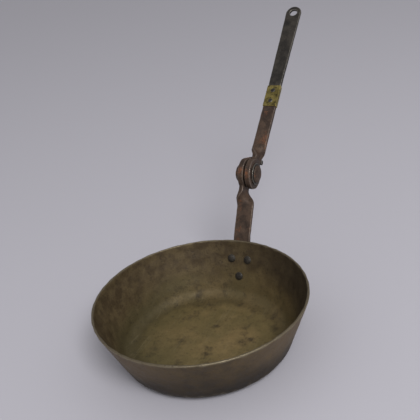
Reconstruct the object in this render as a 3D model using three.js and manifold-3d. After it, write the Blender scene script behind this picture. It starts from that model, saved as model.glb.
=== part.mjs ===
// A wrought iron frying pan with a long handle that folds over the bowl.
// Lengths are millimetres. The pan stands on z = 0 with its centre on the origin,
// and the open handle rises along +X. Left is +Y, seen from the bowl out along the handle.
import * as THREE from "three";
import { mergeVertices } from "three/addons/utils/BufferGeometryUtils.js";
import Module from "manifold-3d";

const wasm = await Module();
wasm.setup();

// Fits: the gap between pieces that touch, and how far a cut runs past a face.
const FIT = 0.3;
const CUT_PAST = 5;

// Bowl: a flat base, a rounded heel and a straight flaring wall with a thicker rim.
const RIM_RADIUS = 150;
const PAN_DEPTH = 84;
const BASE_RADIUS = 102;
const HEEL_RADIUS = 22;
const WALL = 2.4;
const RIM_THICKNESS = 3.6;
const RIM_TAPER = 10;

// Strap: its foot is riveted to the wall, and its free end carries the hinge.
const STRAP_WIDTH = 27;
const STRAP_THICKNESS = 5.5;
const FOOT_WIDTH = 50;
const FOOT_DROP = 66;
const FOOT_SHOULDER = 27;
const FOOT_NECK = 8;
const FOOT_TOE_RADIUS = 9;
const STRAP_BEND = 14;
const STRAP_RAISE = 0.8;
const FOOT_NECK_WIDTH = 22;
const FOOT_TOP = 2;

// Foot rivets: two side by side near the shoulder and one at the toe.
const RIVET_RADIUS = 3;
const RIVET_HEAD_RADIUS = 6.5;
const RIVET_HEAD_HEIGHT = 3;
const RIVET_SPREAD = 27;

// Hinge: the pivot's place beyond and above the rim, and the stack of pieces on it.
const PIVOT_REACH = 61;
const PIVOT_RISE = 85;
const EYE_RADIUS = 24;
const EYE_THICKNESS = 9;
const NECK_THICKNESS = 7.5;
const PIVOT_RADIUS = 6;
const PIVOT_HEAD_RADIUS = 14;
const PIVOT_HEAD_HEIGHT = 5;
const PIVOT_BOSS_RADIUS = 15;
const PIVOT_BOSS_HEIGHT = 8;
const WASHER_RADIUS = 17;
const WASHER_THICKNESS = 2;

// Stop: a pin in an arm of the strap's eye, under the neck of the open handle.
const STOP_RADIUS = 4;
const STOP_REACH = 29;
const STOP_ARM_RADIUS = 9;
const STOP_HEAD_RADIUS = 7;
const STOP_HEAD_HEIGHT = 3;

// Handle: a lower bar on edge at the eye, a quarter twist, then a flat upper bar.
const HANDLE_ANGLE = THREE.MathUtils.degToRad(37);
const HANDLE_LENGTH = 331;
const NECK_WIDTH = 23;
const BAR_WIDTH = 22;
const BAR_THICKNESS = 7;
const END_WIDTH = 27;
const END_THICKNESS = 5;
const TWIST_START = 27;
const TWIST_LENGTH = 25;
const HANG_HOLE_RADIUS = 6.5;

// Splice: the two bars lap along a slanted scarf inside a pinned brass collar.
const SPLICE_AT = 144;
const SCARF_LENGTH = 32;
const SCARF_NIB = 1.2;
const COLLAR_LENGTH = 40;
const COLLAR_WALL = 1.2;
const COLLAR_PROUD = 0.6;
const SPLICE_PIN_RADIUS = 2;
const SPLICE_PIN_HEAD_RADIUS = 4;
const SPLICE_PIN_HEAD_HEIGHT = 1.4;
const SPLICE_PIN_SPACING = 20;

// Forged edges are eased by a small chamfer.
const EDGE = 1.2;

// How finely the curved faces are cut.
const BOWL_STEPS = 80;
const HEEL_STEPS = 5;
const RIM_STEPS = 4;
const OUTLINE_STEPS = 8;
const EYE_STEPS = 32;
const RIVET_STEPS = 18;
const DOME_STEPS = 4;
const BEND_STEPS = 4;
const TWIST_STEPS = 12;

// Places across the hinge, measured along Y from the plane where the two eyes meet.
const EYE_INNER = WASHER_THICKNESS / 2 + FIT;
const EYE_OUTER = EYE_INNER + EYE_THICKNESS;
const EYE_CENTRE = (EYE_INNER + EYE_OUTER) / 2;
const SIDE_WASHER_INNER = EYE_OUTER + FIT;
const PIVOT_SEAT = SIDE_WASHER_INNER + WASHER_THICKNESS + FIT;
const PIVOT = new THREE.Vector3(RIM_RADIUS + PIVOT_REACH, 0, PAN_DEPTH + PIVOT_RISE);

// Along the handle: the centre of its round end, and how deep the bars are let into the collar.
const END_CENTRE = HANDLE_LENGTH - END_WIDTH / 2;
const REBATE = COLLAR_WALL + FIT - COLLAR_PROUD;
const SPLICE_PIN_OFFSETS = [-SPLICE_PIN_SPACING / 2, SPLICE_PIN_SPACING / 2];

// Materials, with the colours that the photograph shows.
const seasonedIron = new THREE.MeshStandardMaterial({ color: 0x5a5038, roughness: 0.62, metalness: 0.45 });
const rustyIron = new THREE.MeshStandardMaterial({ color: 0x4e3c34, roughness: 0.8, metalness: 0.3 });
const darkIron = new THREE.MeshStandardMaterial({ color: 0x3a3530, roughness: 0.65, metalness: 0.5 });
const agedBrass = new THREE.MeshStandardMaterial({ color: 0x8a7c38, roughness: 0.5, metalness: 0.8 });

// Solids: a closed geometry becomes a solid that can be cut and joined, and goes back again.
function solidOf(geometry) {
  const bare = geometry.index ? geometry.toNonIndexed() : geometry.clone();
  for (const name of Object.keys(bare.attributes)) {
    if (name !== "position") bare.deleteAttribute(name);
  }
  const merged = mergeVertices(bare, 1e-4);
  return new wasm.Manifold(
    new wasm.Mesh({
      numProp: 3,
      vertProperties: new Float32Array(merged.attributes.position.array),
      triVerts: new Uint32Array(merged.index.array),
    }),
  );
}

function geometryOf(solid) {
  const mesh = solid.getMesh();
  const geometry = new THREE.BufferGeometry();
  geometry.setAttribute("position", new THREE.BufferAttribute(mesh.vertProperties, 3));
  geometry.setIndex(new THREE.BufferAttribute(mesh.triVerts, 1));
  const facets = geometry.toNonIndexed();
  facets.computeVertexNormals();
  return facets;
}

function join(first, ...others) {
  return others.reduce((whole, geometry) => whole.add(solidOf(geometry)), solidOf(first));
}

function cut(solid, ...tools) {
  return tools.reduce((rest, tool) => rest.subtract(solidOf(tool)), solid);
}

// A turned shape about +Z from points of radius and height, listed from the bottom up.
function turned(points, steps) {
  const profile = points.map(([radius, height]) => new THREE.Vector2(radius, height));
  return new THREE.LatheGeometry(profile, steps).rotateX(Math.PI / 2);
}

// Points of an arc in a plane, from one angle to another.
function arc(centre, radius, from, to, steps) {
  const points = [];
  for (let i = 0; i <= steps; i += 1) {
    const angle = THREE.MathUtils.lerp(from, to, i / steps);
    points.push([centre.x + radius * Math.cos(angle), centre.y + radius * Math.sin(angle)]);
  }
  return points;
}

function outlineOf(points) {
  return new THREE.Shape(points.map(([x, y]) => new THREE.Vector2(x, y)));
}

// A flat outline in X and Z, given thickness from one Y to another.
function plate(shape, fromY, toY) {
  const options = { depth: toY - fromY, bevelEnabled: false };
  return new THREE.ExtrudeGeometry(shape, options).rotateX(Math.PI / 2).translate(0, toY, 0);
}

// A round along Y or Z, for an eye or for the drill of a bore.
function roundAlongY(radius, fromY, toY) {
  const round = new THREE.CylinderGeometry(radius, radius, toY - fromY, EYE_STEPS);
  return round.translate(0, (fromY + toY) / 2, 0);
}

function roundAlongZ(radius, fromZ, toZ, steps) {
  const round = new THREE.CylinderGeometry(radius, radius, toZ - fromZ, steps).rotateX(Math.PI / 2);
  return round.translate(0, 0, (fromZ + toZ) / 2);
}

// Points of a domed head, from its rim to its crown, or the other way round below.
function dome(radius, height, seat, side) {
  const points = [];
  for (let i = 0; i <= DOME_STEPS; i += 1) {
    const angle = (i / DOME_STEPS) * (Math.PI / 2);
    points.push([radius * Math.cos(angle), seat + side * height * Math.sin(angle)]);
  }
  return side > 0 ? points : points.reverse();
}

// A rivet or pin along +Z: a shank between two seats, with a domed head on each.
function rivet(shankRadius, lower, upper, steps) {
  const points = [
    ...dome(lower.radius, lower.height, lower.seat, -1),
    [shankRadius, lower.seat],
    [shankRadius, upper.seat],
    ...dome(upper.radius, upper.height, upper.seat, 1),
  ];
  return turned(points, steps);
}

// A bar of chamfered rectangular section through a list of stations, with flat ends.
// A station holds a centre, the unit directions of its width and thickness, and both sizes.
function bar(stations) {
  const corners = [];
  for (const { centre, across, through, width, thickness } of stations) {
    const edge = Math.min(EDGE, thickness / 4, width / 4);
    const w = width / 2;
    const t = thickness / 2;
    const outline = [
      [w, -t + edge], [w, t - edge], [w - edge, t], [-w + edge, t],
      [-w, t - edge], [-w, -t + edge], [-w + edge, -t], [w - edge, -t],
    ];
    for (const [a, b] of outline) {
      corners.push(centre.clone().addScaledVector(across, a).addScaledVector(through, b));
    }
  }
  const sides = 8;
  const faces = [];
  for (let ring = 0; ring + 1 < stations.length; ring += 1) {
    for (let i = 0; i < sides; i += 1) {
      const a = ring * sides + i;
      const b = ring * sides + ((i + 1) % sides);
      faces.push(a, b, b + sides, a, b + sides, a + sides);
    }
  }
  const last = (stations.length - 1) * sides;
  for (let i = 1; i + 1 < sides; i += 1) {
    faces.push(0, i + 1, i);
    faces.push(last, last + i, last + i + 1);
  }
  const geometry = new THREE.BufferGeometry().setFromPoints(corners);
  geometry.setIndex(faces);
  return geometry;
}

// The width and thickness directions of a bar that runs along a direction in the XZ plane,
// turned about that direction from flat (0) to on edge (a quarter turn).
function sectionAt(direction, turn) {
  const flat = new THREE.Vector3(0, 1, 0);
  const normal = new THREE.Vector3().crossVectors(direction, flat);
  const across = flat.clone().multiplyScalar(Math.cos(turn)).addScaledVector(normal, Math.sin(turn));
  const through = new THREE.Vector3().crossVectors(direction, across);
  return { across, through };
}

// The straight flank of the wall touches two circles in the bowl's section: the heel's arc
// and the round of the rim. Out points away from the wall and up runs along it to the rim.
function wallFlank() {
  const heel = new THREE.Vector2(BASE_RADIUS, HEEL_RADIUS);
  const radius = RIM_THICKNESS / 2;
  const round = new THREE.Vector2(RIM_RADIUS - radius, PAN_DEPTH - radius);
  const toRim = round.clone().sub(heel);
  const outAngle = toRim.angle() - Math.acos((HEEL_RADIUS - radius) / toRim.length());
  const out = new THREE.Vector2(Math.cos(outAngle), Math.sin(outAngle));
  const up = new THREE.Vector2(-out.y, out.x);
  const top = round.clone().addScaledVector(out, radius);
  return { out, up, outAngle, heel, round, top };
}
const FLANK = wallFlank();

// A point of radius and height: so far down the flank from the rim, so far outside its face.
function onFlank(down, outside) {
  return FLANK.top.clone().addScaledVector(FLANK.up, -down).addScaledVector(FLANK.out, outside);
}

function panProfile() {
  const { heel, round, outAngle } = FLANK;
  return [
    [0, 0],
    ...arc(heel, HEEL_RADIUS, -Math.PI / 2, outAngle, HEEL_STEPS),
    ...arc(round, RIM_THICKNESS / 2, outAngle, outAngle + Math.PI, RIM_STEPS),
    onFlank(RIM_TAPER, -WALL).toArray(),
    ...arc(heel, HEEL_RADIUS - WALL, outAngle, -Math.PI / 2, HEEL_STEPS),
    [0, WALL],
  ];
}

// Foot rivets: how far down the flank each sits, and how far round the bowl it is turned.
function footRivets() {
  const upper = FOOT_SHOULDER;
  const toe = FOOT_DROP - FOOT_TOE_RADIUS - RIVET_RADIUS;
  const turn = Math.asin(RIVET_SPREAD / 2 / onFlank(upper, 0).x);
  return [
    { down: upper, turn },
    { down: upper, turn: -turn },
    { down: toe, turn: 0 },
  ];
}

// A rivet's place: its own +Z axis points out of the wall, from the wall's outer face.
function rivetPlace({ down, turn }) {
  const foot = onFlank(down, 0);
  const place = new THREE.Group();
  place.rotation.z = turn;
  const seat = new THREE.Group();
  seat.position.set(foot.x, 0, foot.y);
  seat.rotation.y = Math.PI / 2 - FLANK.outAngle;
  place.add(seat);
  place.updateMatrixWorld(true);
  return { place, seat };
}

// The drill for one foot rivet, in the pan's own frame.
function rivetDrill(spot) {
  const { seat } = rivetPlace(spot);
  const reach = STRAP_THICKNESS + WALL + CUT_PAST;
  return roundAlongZ(RIVET_RADIUS + FIT, -reach, reach, RIVET_STEPS).applyMatrix4(seat.matrixWorld);
}

// A flat head on a round wall rocks at its edge, so its seat is drawn back by the wall's bow.
function bow(headRadius, wallRadius) {
  return (headRadius * headRadius) / (2 * wallRadius);
}

function footRivet(spot) {
  const radius = onFlank(spot.down, 0).x;
  const inside = -WALL - FIT - bow(RIVET_HEAD_RADIUS, radius);
  const outside = FIT + STRAP_THICKNESS + FIT;
  return rivet(
    RIVET_RADIUS,
    { radius: RIVET_HEAD_RADIUS, height: RIVET_HEAD_HEIGHT, seat: inside },
    { radius: RIVET_HEAD_RADIUS, height: RIVET_HEAD_HEIGHT, seat: outside },
    RIVET_STEPS,
  );
}

function panBowl() {
  return geometryOf(cut(solidOf(turned(panProfile(), BOWL_STEPS)), ...footRivets().map(rivetDrill)));
}

// The leaf outline of the foot, seen from outside: Y across and height up.
function footOutline() {
  const height = (down) => onFlank(down, 0).y;
  const half = FOOT_WIDTH / 2;
  const side = FOOT_NECK_WIDTH / 2;
  const top = height(0);
  const neck = height(FOOT_NECK);
  const shoulder = height(FOOT_SHOULDER);
  const toe = height(FOOT_DROP);
  const belowNeck = (neck + shoulder) / 2;
  const aboveShoulder = (top + shoulder) / 2;
  const belowShoulder = (shoulder + toe) / 2;
  const shape = new THREE.Shape();
  shape.moveTo(-side, top);
  shape.lineTo(-side, neck);
  shape.bezierCurveTo(-side, belowNeck, -half, aboveShoulder, -half, shoulder);
  shape.bezierCurveTo(-half, belowShoulder, -FOOT_TOE_RADIUS, toe, 0, toe);
  shape.bezierCurveTo(FOOT_TOE_RADIUS, toe, half, belowShoulder, half, shoulder);
  shape.bezierCurveTo(half, aboveShoulder, side, belowNeck, side, neck);
  shape.lineTo(side, top);
  shape.closePath();
  return shape;
}

// The foot is a leaf cut out of a shell that lies on the wall's outer face.
function strapFoot() {
  const shell = turned(
    [
      onFlank(FOOT_DROP + CUT_PAST, FIT).toArray(),
      onFlank(FOOT_DROP + CUT_PAST, FIT + STRAP_THICKNESS).toArray(),
      onFlank(FOOT_TOP, FIT + STRAP_THICKNESS).toArray(),
      onFlank(FOOT_TOP, FIT).toArray(),
      onFlank(FOOT_DROP + CUT_PAST, FIT).toArray(),
    ],
    BOWL_STEPS,
  );
  const reach = RIM_RADIUS + CUT_PAST + STRAP_THICKNESS;
  const options = { depth: reach, bevelEnabled: false, curveSegments: OUTLINE_STEPS };
  const leaf = new THREE.ExtrudeGeometry(footOutline(), options);
  leaf.applyMatrix4(new THREE.Matrix4().makeBasis(
    new THREE.Vector3(0, 1, 0),
    new THREE.Vector3(0, 0, 1),
    new THREE.Vector3(1, 0, 0),
  ));
  return solidOf(shell).intersect(solidOf(leaf));
}

// The strap's middle line: up the wall, a short bend at the rim, then straight to the pivot.
function strapPath() {
  const middle = FIT + STRAP_RAISE + STRAP_THICKNESS / 2;
  const point = ({ x, y }) => new THREE.Vector3(x, 0, y);
  const low = point(onFlank(FOOT_NECK, middle));
  const corner = point(onFlank(-STRAP_BEND / 2, middle));
  const enter = point(onFlank(0, middle));
  const toPivot = PIVOT.clone().sub(corner).normalize();
  const leave = corner.clone().addScaledVector(toPivot, STRAP_BEND / 2);
  const path = new THREE.CurvePath();
  path.add(new THREE.LineCurve3(low, enter));
  path.add(new THREE.QuadraticBezierCurve3(enter, corner, leave));
  path.add(new THREE.LineCurve3(leave, PIVOT));
  return path;
}

function quarterTwist(distance) {
  const t = THREE.MathUtils.smoothstep(distance, TWIST_START, TWIST_START + TWIST_LENGTH);
  return { t, turn: (1 - t) * (Math.PI / 2) };
}

// One station of the strap: on edge and in the left lane at the pivot, flat at the rim.
function strapStation(centre, direction) {
  const { t, turn } = quarterTwist(centre.distanceTo(PIVOT));
  const { across, through } = sectionAt(direction, turn);
  centre.y = EYE_CENTRE * (1 - t);
  const thickness = THREE.MathUtils.lerp(NECK_THICKNESS, STRAP_THICKNESS, t);
  return { centre, across, through, width: STRAP_WIDTH, thickness };
}

function strapBar() {
  const [up, bend, free] = strapPath().curves;
  const stations = [strapStation(up.getPoint(0), up.getTangent(0))];
  for (let i = 0; i <= BEND_STEPS; i += 1) {
    stations.push(strapStation(bend.getPoint(i / BEND_STEPS), bend.getTangent(i / BEND_STEPS)));
  }
  const length = free.getLength();
  for (let i = 0; i <= TWIST_STEPS; i += 1) {
    const left = TWIST_START + TWIST_LENGTH * (1 - i / TWIST_STEPS);
    stations.push(strapStation(free.getPoint(1 - left / length), free.getTangent(0)));
  }
  stations.push(strapStation(free.getPoint(1), free.getTangent(0)));
  return bar(stations);
}

// The frame of the open handle: at the pivot, with X along the handle.
function atPivot() {
  const group = new THREE.Group();
  group.position.copy(PIVOT);
  group.rotation.y = -HANDLE_ANGLE;
  group.updateMatrixWorld(true);
  return group;
}

// The stop pin's place in the open handle's frame: just under the neck.
function stopSpot() {
  return new THREE.Vector3(STOP_REACH, 0, -(NECK_WIDTH / 2 + FIT + STOP_RADIUS));
}

// The strap's eye with its stop arm: two rounds and the straight sides that touch both.
function strapEye() {
  const stop = stopSpot();
  const reach = Math.hypot(stop.x, stop.z);
  const touch = Math.acos((EYE_RADIUS - STOP_ARM_RADIUS) / reach);
  const shape = outlineOf([
    ...arc({ x: 0, y: 0 }, EYE_RADIUS, touch, Math.PI * 2 - touch, EYE_STEPS),
    ...arc({ x: reach, y: 0 }, STOP_ARM_RADIUS, -touch, touch, EYE_STEPS / 4),
  ]);
  const eye = plate(shape, EYE_INNER, EYE_OUTER);
  return eye.rotateY(-Math.atan2(stop.z, stop.x)).applyMatrix4(atPivot().matrixWorld);
}

function handleStrap() {
  const whole = strapFoot().add(solidOf(strapBar())).add(solidOf(strapEye()));
  const stop = stopSpot();
  const pivotDrill = roundAlongY(PIVOT_RADIUS + FIT, EYE_INNER - CUT_PAST, EYE_OUTER + CUT_PAST);
  const stopDrill = roundAlongY(STOP_RADIUS + FIT, EYE_INNER - CUT_PAST, EYE_OUTER + CUT_PAST);
  const hinge = atPivot().matrixWorld;
  return geometryOf(cut(
    whole,
    pivotDrill.applyMatrix4(hinge),
    stopDrill.translate(stop.x, 0, stop.z).applyMatrix4(hinge),
    ...footRivets().map(rivetDrill),
  ));
}

// The pivot: a pin along Y, with its larger head on the strap's side.
function pivotPin() {
  return rivet(
    PIVOT_RADIUS,
    { radius: PIVOT_BOSS_RADIUS, height: PIVOT_BOSS_HEIGHT, seat: -PIVOT_SEAT },
    { radius: PIVOT_HEAD_RADIUS, height: PIVOT_HEAD_HEIGHT, seat: PIVOT_SEAT },
    EYE_STEPS,
  ).rotateX(Math.PI / 2);
}

function washer() {
  const inner = PIVOT_RADIUS + FIT;
  const outer = WASHER_RADIUS;
  const half = WASHER_THICKNESS / 2;
  const ring = [[inner, -half], [outer, -half], [outer, half], [inner, half], [inner, -half]];
  return turned(ring, EYE_STEPS).rotateX(Math.PI / 2);
}

function stopPin() {
  const points = [
    ...dome(STOP_HEAD_RADIUS, STOP_HEAD_HEIGHT, -(EYE_OUTER + FIT), -1),
    [STOP_RADIUS, -(EYE_OUTER + FIT)],
    [STOP_RADIUS, EYE_OUTER],
    [0, EYE_OUTER],
  ];
  return turned(points, RIVET_STEPS).rotateX(Math.PI / 2);
}

// The section of the handle at a distance from the pivot, without the splice's rebate:
// it turns flat after the neck, and past the collar it grows wider and thinner to its end.
function handleSize(x) {
  const t = THREE.MathUtils.smoothstep(x, TWIST_START, TWIST_START + TWIST_LENGTH);
  const collarEnd = SPLICE_AT + COLLAR_LENGTH / 2 + FIT + REBATE;
  const end = THREE.MathUtils.clamp((x - collarEnd) / (END_CENTRE - collarEnd), 0, 1);
  const lower = { width: NECK_WIDTH * (1 - t), thickness: NECK_THICKNESS * (1 - t) };
  const upper = { width: (END_WIDTH - BAR_WIDTH) * end, thickness: (END_THICKNESS - BAR_THICKNESS) * end };
  const width = lower.width + BAR_WIDTH * t + upper.width;
  const thickness = lower.thickness + BAR_THICKNESS * t + upper.thickness;
  return { width, thickness, turn: (1 - t) * (Math.PI / 2) };
}

function handleStation(x, rebate) {
  const { width, thickness, turn } = handleSize(x);
  const { across, through } = sectionAt(new THREE.Vector3(1, 0, 0), turn);
  const centre = new THREE.Vector3(x, -EYE_CENTRE, 0);
  return { centre, across, through, width: width - 2 * rebate, thickness: thickness - 2 * rebate };
}

// The scarf's cutter leaves the lower bar its half: the space below a slanted plane, with a
// blunt nib at its end. Turned half way round, it leaves the upper bar the other half.
function scarfCutter() {
  const half = SCARF_LENGTH / 2;
  const nib = BAR_THICKNESS / 2 - REBATE - SCARF_NIB;
  const far = BAR_THICKNESS + CUT_PAST;
  const shape = outlineOf([
    [-half - FIT / 2, far],
    [-half - FIT / 2, nib - FIT / 2],
    [half - FIT / 2, -nib - FIT / 2],
    [half - FIT / 2, -far],
    [HANDLE_LENGTH, -far],
    [HANDLE_LENGTH, far],
  ]);
  const reach = Math.max(BAR_WIDTH, END_WIDTH, NECK_WIDTH, EYE_OUTER * 2) + CUT_PAST;
  return plate(shape, -reach, reach);
}

function spliceDrill(offset) {
  const reach = BAR_THICKNESS + COLLAR_PROUD + CUT_PAST;
  const drill = roundAlongZ(SPLICE_PIN_RADIUS + FIT, -reach, reach, RIVET_STEPS);
  return drill.translate(SPLICE_AT + offset, -EYE_CENTRE, 0);
}

function handleEye() {
  return roundAlongY(EYE_RADIUS, -EYE_OUTER, -EYE_INNER);
}

// The lower bar: eye, neck on edge, quarter twist, and the lower half of the scarf.
function lowerBar() {
  const shoulder = SPLICE_AT - COLLAR_LENGTH / 2 - FIT;
  const stations = [handleStation(0, 0)];
  for (let i = 0; i <= TWIST_STEPS; i += 1) {
    stations.push(handleStation(TWIST_START + (TWIST_LENGTH * i) / TWIST_STEPS, 0));
  }
  stations.push(handleStation(shoulder - REBATE, 0));
  stations.push(handleStation(shoulder, REBATE));
  stations.push(handleStation(SPLICE_AT + SCARF_LENGTH / 2 + CUT_PAST, REBATE));
  const scarf = scarfCutter().translate(SPLICE_AT, 0, 0);
  const pivotDrill = roundAlongY(PIVOT_RADIUS + FIT, -EYE_OUTER - CUT_PAST, -EYE_INNER + CUT_PAST);
  const drills = SPLICE_PIN_OFFSETS.map(spliceDrill);
  return geometryOf(cut(join(bar(stations), handleEye()), scarf, pivotDrill, ...drills));
}

// The upper bar: the other half of the scarf, then a flat bar that widens to a round end.
function upperBar() {
  const shoulder = SPLICE_AT + COLLAR_LENGTH / 2 + FIT;
  const stations = [
    handleStation(SPLICE_AT - SCARF_LENGTH / 2 - CUT_PAST, REBATE),
    handleStation(shoulder, REBATE),
    handleStation(shoulder + REBATE, 0),
    handleStation(END_CENTRE, 0),
  ];
  const half = END_THICKNESS / 2;
  const edge = Math.min(EDGE, half / 2);
  const radius = END_WIDTH / 2;
  const section = [
    [0, -half], [radius - edge, -half], [radius, -half + edge],
    [radius, half - edge], [radius - edge, half], [0, half],
  ];
  const round = turned(section, EYE_STEPS).translate(END_CENTRE, -EYE_CENTRE, 0);
  const scarf = scarfCutter().rotateY(Math.PI).translate(SPLICE_AT, 0, 0);
  const reach = END_THICKNESS + CUT_PAST;
  const hangHole = roundAlongZ(HANG_HOLE_RADIUS, -reach, reach, EYE_STEPS);
  hangHole.translate(END_CENTRE, -EYE_CENTRE, 0);
  const drills = SPLICE_PIN_OFFSETS.map(spliceDrill);
  return geometryOf(cut(join(bar(stations), round), scarf, hangHole, ...drills));
}

// The collar: a flat sleeve round both bars, with a hole for each pin on both faces.
function spliceCollar() {
  const outerW = BAR_WIDTH / 2 + COLLAR_PROUD;
  const outerT = BAR_THICKNESS / 2 + COLLAR_PROUD;
  const inner = [
    [outerW - COLLAR_WALL, outerT - COLLAR_WALL], [-outerW + COLLAR_WALL, outerT - COLLAR_WALL],
    [-outerW + COLLAR_WALL, -outerT + COLLAR_WALL], [outerW - COLLAR_WALL, -outerT + COLLAR_WALL],
  ];
  const sleeve = bar([-COLLAR_LENGTH / 2, COLLAR_LENGTH / 2].map((offset) => ({
    ...handleStation(SPLICE_AT + offset, 0),
    width: outerW * 2,
    thickness: outerT * 2,
  })));
  const bore = outlineOf(inner);
  const options = { depth: COLLAR_LENGTH + 2 * CUT_PAST, bevelEnabled: false };
  const core = new THREE.ExtrudeGeometry(bore, options);
  core.applyMatrix4(new THREE.Matrix4().makeBasis(
    new THREE.Vector3(0, 1, 0),
    new THREE.Vector3(0, 0, 1),
    new THREE.Vector3(1, 0, 0),
  ));
  core.translate(SPLICE_AT - COLLAR_LENGTH / 2 - CUT_PAST, -EYE_CENTRE, 0);
  return geometryOf(cut(solidOf(sleeve), core, ...SPLICE_PIN_OFFSETS.map(spliceDrill)));
}

function splicePin() {
  const seat = BAR_THICKNESS / 2 + COLLAR_PROUD + FIT;
  const head = { radius: SPLICE_PIN_HEAD_RADIUS, height: SPLICE_PIN_HEAD_HEIGHT };
  return rivet(SPLICE_PIN_RADIUS, { ...head, seat: -seat }, { ...head, seat }, RIVET_STEPS);
}

function named(name, geometry, material) {
  const mesh = new THREE.Mesh(geometry, material);
  mesh.name = name;
  return mesh;
}

// The pan side: bowl, strap, rivets, stop pin, pivot pin and two washers.
function panGroup() {
  const group = new THREE.Group();
  group.add(named("pan_bowl", panBowl(), seasonedIron));
  group.add(named("handle_strap", handleStrap(), rustyIron));
  footRivets().forEach((spot, i) => {
    const { place, seat } = rivetPlace(spot);
    seat.add(named(`strap_rivet_${i + 1}`, footRivet(spot), darkIron));
    group.add(place);
  });
  const hinge = atPivot();
  const stop = named("stop_pin", stopPin(), darkIron);
  stop.position.copy(stopSpot());
  hinge.add(stop);
  hinge.add(named("pivot_pin", pivotPin(), rustyIron));
  const left = named("pivot_washer_left", washer(), darkIron);
  left.position.y = SIDE_WASHER_INNER + WASHER_THICKNESS / 2;
  hinge.add(left);
  hinge.add(named("pivot_washer_middle", washer(), darkIron));
  group.add(hinge);
  return group;
}

// The handle side: two bars, the collar with its pins, and the washer that turns with it.
function handleGroup() {
  const group = atPivot();
  group.add(named("handle_lower_bar", lowerBar(), rustyIron));
  group.add(named("handle_upper_bar", upperBar(), darkIron));
  group.add(named("splice_collar", spliceCollar(), agedBrass));
  SPLICE_PIN_OFFSETS.forEach((offset, i) => {
    const pin = named(`splice_pin_${i + 1}`, splicePin(), darkIron);
    pin.position.set(SPLICE_AT + offset, -EYE_CENTRE, 0);
    group.add(pin);
  });
  const right = named("pivot_washer_right", washer(), darkIron);
  right.position.y = -SIDE_WASHER_INNER - WASHER_THICKNESS / 2;
  group.add(right);
  return group;
}

const pan = new THREE.Group();
pan.add(panGroup());
pan.add(handleGroup());

export default pan;
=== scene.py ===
# %% [markdown]
# # A wrought iron frying pan with a folding handle
# This notebook dresses the plain solids of an old forged pan. The real thing is made by a
# smith: sheet iron is beaten into a deep bowl, a strap is riveted to its wall, and a long
# handle turns on a pin at the strap's end. The fixed frame gives the place of every part,
# so each new piece is made where its plain solid stands and then takes its place.

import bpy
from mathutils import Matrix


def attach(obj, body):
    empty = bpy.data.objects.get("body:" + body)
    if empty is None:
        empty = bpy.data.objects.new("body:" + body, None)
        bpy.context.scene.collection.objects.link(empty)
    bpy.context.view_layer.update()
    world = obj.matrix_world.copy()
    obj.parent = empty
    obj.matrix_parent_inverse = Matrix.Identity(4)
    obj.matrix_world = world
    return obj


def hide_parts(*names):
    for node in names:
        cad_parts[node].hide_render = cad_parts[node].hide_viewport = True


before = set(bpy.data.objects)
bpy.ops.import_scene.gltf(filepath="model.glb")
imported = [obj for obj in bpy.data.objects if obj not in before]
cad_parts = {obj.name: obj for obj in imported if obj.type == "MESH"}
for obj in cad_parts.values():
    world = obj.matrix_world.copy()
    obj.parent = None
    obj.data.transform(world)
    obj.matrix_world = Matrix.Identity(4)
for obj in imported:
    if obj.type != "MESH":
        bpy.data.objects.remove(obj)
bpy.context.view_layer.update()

# %% Tools that the lesson uses
import math

import bmesh
import bpy
import numpy as np
from mathutils import Matrix, Vector, kdtree, noise
from mathutils.geometry import interpolate_bezier

MM = 0.001
X, Y, Z = Vector((1, 0, 0)), Vector((0, 1, 0)), Vector((0, 0, 1))
ORIGIN = Vector((0, 0, 0))

# %% [markdown]
# ## The camera
# A photograph is matched before anything is modelled, because a wrong camera makes right
# shapes look wrong. The rim is a circle, so its picture, an ellipse, gives the camera's
# height and distance. The camera looks past the rim's centre, so its place is found by
# stepping back along the line of sight and then a little sideways and up.

# %% Camera
RIM_RADIUS = 150 * MM
PAN_DEPTH = 84 * MM
LOOK_ROUND = math.radians(28.4)
LOOK_DOWN = math.radians(25.99)
CAMERA_ROLL = math.radians(8.67)
# How far the camera stands back, aside and up, in rim radii.
CAMERA_BACK = 6.0
CAMERA_ASIDE = 0.095
CAMERA_UP = 0.762
# Half the frame and the distance at which it is seen whole, in the photograph's pixels.
HALF_FRAME = 210
FOCAL_DISTANCE = 659.6
SENSOR_WIDTH = 36
NEAREST, FURTHEST = 0.01, 500

level = Vector((math.cos(LOOK_ROUND), math.sin(LOOK_ROUND), 0))
aside = Vector((math.sin(LOOK_ROUND), -math.cos(LOOK_ROUND), 0))
forward = level * math.cos(LOOK_DOWN) - Z * math.sin(LOOK_DOWN)
upright = level * math.sin(LOOK_DOWN) + Z * math.cos(LOOK_DOWN)
right = aside * math.cos(CAMERA_ROLL) - upright * math.sin(CAMERA_ROLL)
up = aside * math.sin(CAMERA_ROLL) + upright * math.cos(CAMERA_ROLL)

camera_data = bpy.data.cameras.new("camera")
camera_data.sensor_width = SENSOR_WIDTH
camera_data.lens = SENSOR_WIDTH / 2 * FOCAL_DISTANCE / HALF_FRAME
camera_data.clip_start = NEAREST
camera_data.clip_end = FURTHEST
camera = bpy.data.objects.new("camera", camera_data)
bpy.context.scene.collection.objects.link(camera)
bpy.context.scene.camera = camera
step_back = forward * CAMERA_BACK - right * CAMERA_ASIDE - up * CAMERA_UP
camera_place = Matrix((right, up, -forward)).transposed().to_4x4()
camera_place.translation = Z * PAN_DEPTH - step_back * RIM_RADIUS
camera.matrix_world = camera_place
print("camera at", [round(v, 3) for v in camera.matrix_world.translation])


# %% [markdown]
# ## Patterns as node groups
# Old iron is never one colour. The same few effects run over all of it: pale worn edges,
# rust, and the fine grain that scale leaves under the hammer. Each effect is a node group
# that is built once, so that a change to it reaches every material. A group gives out only
# masks, colours and heights, and each material decides what to do with them.

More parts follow.
